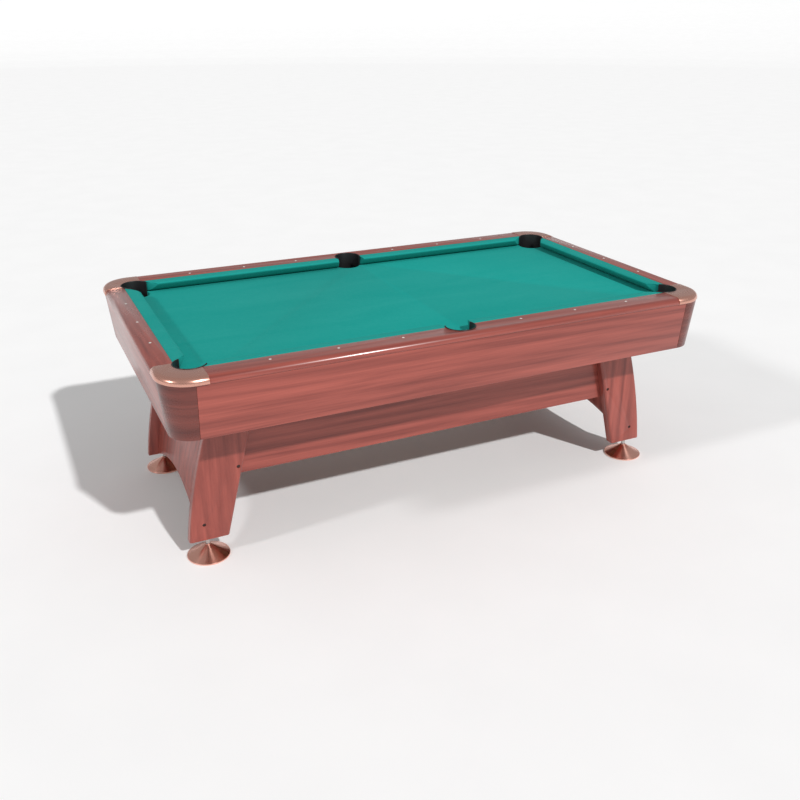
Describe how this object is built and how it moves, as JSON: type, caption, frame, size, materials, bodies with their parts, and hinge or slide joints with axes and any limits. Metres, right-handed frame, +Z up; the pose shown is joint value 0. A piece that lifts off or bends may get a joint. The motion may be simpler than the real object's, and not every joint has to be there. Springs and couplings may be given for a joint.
{
  "type": "pool table",
  "caption": "Pool table with cloth bed, cushions, drop pockets, mahogany laminate cabinet and splayed panel legs on screw levelling feet.",
  "frame": {"origin": "on the floor under the table's centre, in the plane of the feet's undersides", "axes": "+X along the table's length, +Y across it, +Z up"},
  "size_m": [2.134, 1.23, 0.7812],
  "materials": {
    "rail_laminate": "satin mahogany laminate with straight grain",
    "apron_laminate": "satin mahogany laminate with flowing grain along the board",
    "corner_laminate": "satin dark mahogany laminate, curved",
    "leg_laminate": "satin mahogany laminate with upright grain",
    "fibreboard": "raw medium density fibreboard",
    "bed_cloth": "tight woven teal green cloth",
    "cushion_cloth": "tight woven teal green cloth over rubber",
    "copper_plastic": "copper coloured moulding, satin gloss",
    "copper_plate": "copper plate over a plastic core, turned finish",
    "pocket_black": "black moulded plastic",
    "zinc_steel": "zinc plated threaded steel",
    "black_steel": "black oxide steel"
  },
  "bodies": {
    "root": {"bed_panel": "fibreboard", "bed_cloth": "bed_cloth", "side_rail_near": "rail_laminate", "side_apron_near": "apron_laminate", "stretcher_near": "leg_laminate", "side_rail_far": "rail_laminate", "side_apron_far": "apron_laminate", "stretcher_far": "leg_laminate", "end_rail_left": "rail_laminate", "end_apron_left": "apron_laminate", "leg_end_panel_left": "leg_laminate", "cushion_left_end": "cushion_cloth", "end_rail_right": "rail_laminate", "end_apron_right": "apron_laminate", "leg_end_panel_right": "leg_laminate", "cushion_right_end": "cushion_cloth", "corner_cap_near_left": "copper_plastic", "apron_corner_near_left": "corner_laminate", "cushion_near_left": "cushion_cloth", "pocket_near_left": "pocket_black", "leg_panel_near_left": "leg_laminate", "leg_bolt_upper_near_left": "black_steel", "leg_bolt_lower_near_left": "black_steel", "corner_cap_near_right": "copper_plastic", "apron_corner_near_right": "corner_laminate", "cushion_near_right": "cushion_cloth", "pocket_near_right": "pocket_black", "leg_panel_near_right": "leg_laminate", "leg_bolt_upper_near_right": "black_steel", "leg_bolt_lower_near_right": "black_steel", "corner_cap_far_left": "copper_plastic", "apron_corner_far_left": "corner_laminate", "cushion_far_left": "cushion_cloth", "pocket_far_left": "pocket_black", "leg_panel_far_left": "leg_laminate", "leg_bolt_upper_far_left": "black_steel", "leg_bolt_lower_far_left": "black_steel", "corner_cap_far_right": "copper_plastic", "apron_corner_far_right": "corner_laminate", "cushion_far_right": "cushion_cloth", "pocket_far_right": "pocket_black", "leg_panel_far_right": "leg_laminate", "leg_bolt_upper_far_right": "black_steel", "leg_bolt_lower_far_right": "black_steel", "pocket_near_side": "pocket_black", "pocket_far_side": "pocket_black", "cross_beam_left_end": "fibreboard", "cross_beam_left": "fibreboard", "cross_beam_right": "fibreboard", "cross_beam_right_end": "fibreboard"},
    "foot_near_left": {"leveller_foot_near_left": "copper_plate"},
    "stud_near_left": {"leveller_stud_near_left": "zinc_steel"},
    "foot_near_right": {"leveller_foot_near_right": "copper_plate"},
    "stud_near_right": {"leveller_stud_near_right": "zinc_steel"},
    "foot_far_left": {"leveller_foot_far_left": "copper_plate"},
    "stud_far_left": {"leveller_stud_far_left": "zinc_steel"},
    "foot_far_right": {"leveller_foot_far_right": "copper_plate"},
    "stud_far_right": {"leveller_stud_far_right": "zinc_steel"}
  },
  "joints": [
    {"name": "foot_lower_near_left", "type": "slide", "parent": "root", "child": "foot_near_left", "axis": [0, 0, -1], "range_m": [0, 0.015]},
    {"name": "stud_turn_near_left", "type": "hinge", "parent": "foot_near_left", "child": "stud_near_left", "pos_m": [-0.9256, -0.3725, 0.058], "axis": [0, 0, -1], "range_deg": [0, 3600]},
    {"name": "foot_lower_near_right", "type": "slide", "parent": "root", "child": "foot_near_right", "axis": [0, 0, -1], "range_m": [0, 0.015]},
    {"name": "stud_turn_near_right", "type": "hinge", "parent": "foot_near_right", "child": "stud_near_right", "pos_m": [0.9256, -0.3725, 0.058], "axis": [0, 0, -1], "range_deg": [0, 3600]},
    {"name": "foot_lower_far_left", "type": "slide", "parent": "root", "child": "foot_far_left", "axis": [0, 0, -1], "range_m": [0, 0.015]},
    {"name": "stud_turn_far_left", "type": "hinge", "parent": "foot_far_left", "child": "stud_far_left", "pos_m": [-0.9256, 0.3725, 0.058], "axis": [0, 0, -1], "range_deg": [0, 3600]},
    {"name": "foot_lower_far_right", "type": "slide", "parent": "root", "child": "foot_far_right", "axis": [0, 0, -1], "range_m": [0, 0.015]},
    {"name": "stud_turn_far_right", "type": "hinge", "parent": "foot_far_right", "child": "stud_far_right", "pos_m": [0.9256, 0.3725, 0.058], "axis": [0, 0, -1], "range_deg": [0, 3600]}
  ],
  "couplings": [
    {"joint": "stud_turn_near_left", "follows": "foot_lower_near_left", "rad_per_m": 4188},
    {"joint": "stud_turn_near_right", "follows": "foot_lower_near_right", "rad_per_m": 4188},
    {"joint": "stud_turn_far_left", "follows": "foot_lower_far_left", "rad_per_m": 4188},
    {"joint": "stud_turn_far_right", "follows": "foot_lower_far_right", "rad_per_m": 4188}
  ]
}
